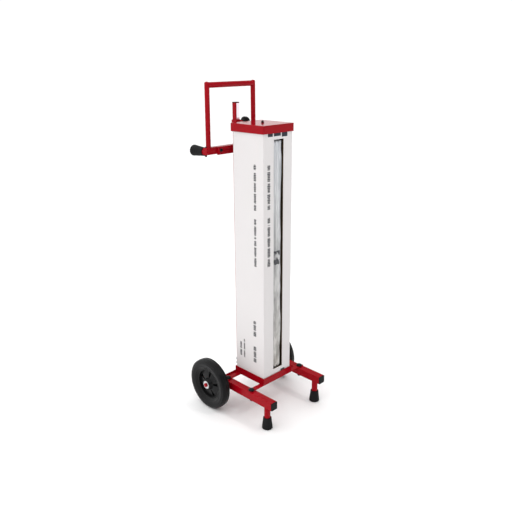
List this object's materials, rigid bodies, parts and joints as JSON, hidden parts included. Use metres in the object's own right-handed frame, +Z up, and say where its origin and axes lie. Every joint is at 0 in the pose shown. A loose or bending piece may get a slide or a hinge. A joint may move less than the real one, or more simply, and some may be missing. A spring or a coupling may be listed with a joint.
{
  "type": "film dispenser trolley",
  "caption": "Two-wheeled stand that carries a boxed roll of protective film upright, with a tall pull-out slot, push handle and clamp plate.",
  "frame": {"origin": "on the floor, under the centre of the whole trolley", "axes": "+Z up; the carton's slot faces -Y, the wheels and handle are at +Y, +X is the side of the clamp knob"},
  "size_m": [0.4196, 0.428, 1.225],
  "materials": {
    "red_paint": "gloss powder coat",
    "black_plastic": "satin moulded",
    "hub_plastic": "satin moulded",
    "grey_plastic": "satin moulded",
    "tyre_rubber": "matt",
    "black_rubber": "matt",
    "black_bolt": "black coated",
    "zinc_steel": "bright zinc plated",
    "bright_steel": "polished strip",
    "carton_board": "white lined board",
    "core_board": "wound board",
    "film": "thin film, many layers"
  },
  "bodies": {
    "stand": {"arm_bolts": "black_bolt", "arm_end_bolts": "black_bolt", "arm_end_nuts": "black_bolt", "arm_nuts": "black_bolt", "axle": "zinc_steel", "axle_caps": "red_paint", "axle_spacers": "zinc_steel", "carton": "carton_board", "frame_bolts": "black_bolt", "frame_nuts": "black_bolt", "front_cross_angle": "red_paint", "handle_arm": "red_paint", "handle_grip_bar": "red_paint", "hub_washers": "zinc_steel", "left_buffer_stub": "red_paint", "left_foot_post": "red_paint", "left_front_end_plug": "black_plastic", "left_handle_post": "red_paint", "left_rail": "red_paint", "left_rear_end_plug": "black_plastic", "left_rubber_buffer": "black_rubber", "left_rubber_foot": "black_rubber", "left_tray_angle": "red_paint", "lower_roll_hub": "grey_plastic", "mast": "red_paint", "mast_bolts": "zinc_steel", "mast_bracket": "red_paint", "mast_cleat": "red_paint", "mast_foot_insert": "zinc_steel", "mast_guide_strip": "bright_steel", "mast_nuts": "zinc_steel", "mast_top_plug": "black_plastic", "rear_cross_angle": "red_paint", "right_buffer_stub": "red_paint", "right_foot_post": "red_paint", "right_front_end_plug": "black_plastic", "right_handle_post": "red_paint", "right_rail": "red_paint", "right_rear_end_plug": "black_plastic", "right_rubber_buffer": "black_rubber", "right_rubber_foot": "black_rubber", "right_tray_angle": "red_paint"},
    "left_wheel": {"left_tyre": "tyre_rubber", "left_wheel_hub": "hub_plastic", "left_wheel_bush": "grey_plastic"},
    "right_wheel": {"right_tyre": "tyre_rubber", "right_wheel_hub": "hub_plastic", "right_wheel_bush": "grey_plastic"},
    "film": {"roll_core": "core_board", "film_roll": "film"},
    "clamp_plate": {"top_plate": "red_paint", "plate_bracket": "red_paint", "plate_collar": "red_paint", "upper_roll_hub": "grey_plastic", "plate_centre_bolt": "black_bolt"},
    "clamp_pad": {"clamp_pad": "zinc_steel"},
    "clamp_knob": {"clamp_screw": "zinc_steel", "clamp_knob": "black_plastic"}
  },
  "joints": [
    {"name": "left_wheel_spin", "type": "hinge", "parent": "stand", "child": "left_wheel", "pos_m": [-0.183, 0.085, 0.1], "axis": [1, 0, 0], "continuous": true},
    {"name": "right_wheel_spin", "type": "hinge", "parent": "stand", "child": "right_wheel", "pos_m": [0.183, 0.085, 0.1], "axis": [1, 0, 0], "continuous": true},
    {"name": "film_roll_spin", "type": "hinge", "parent": "stand", "child": "film", "pos_m": [0, -0.025, 0.5], "axis": [0, 0, 1], "continuous": true},
    {"name": "clamp_plate_slide", "type": "slide", "parent": "stand", "child": "clamp_plate", "axis": [0, 0, 1], "range_m": [0, 0.05]},
    {"name": "clamp_pad_slide", "type": "slide", "parent": "clamp_plate", "child": "clamp_pad", "axis": [1, 0, 0], "range_m": [0, 0.0025]},
    {"name": "clamp_knob_turn", "type": "hinge", "parent": "clamp_pad", "child": "clamp_knob", "pos_m": [0.0345, 0.11, 1.078], "axis": [1, 0, 0], "range_deg": [0, 720]}
  ],
  "couplings": [
    {"joint": "clamp_pad_slide", "follows": "clamp_knob_turn", "m_per_rad": 0.00019894}
  ]
}
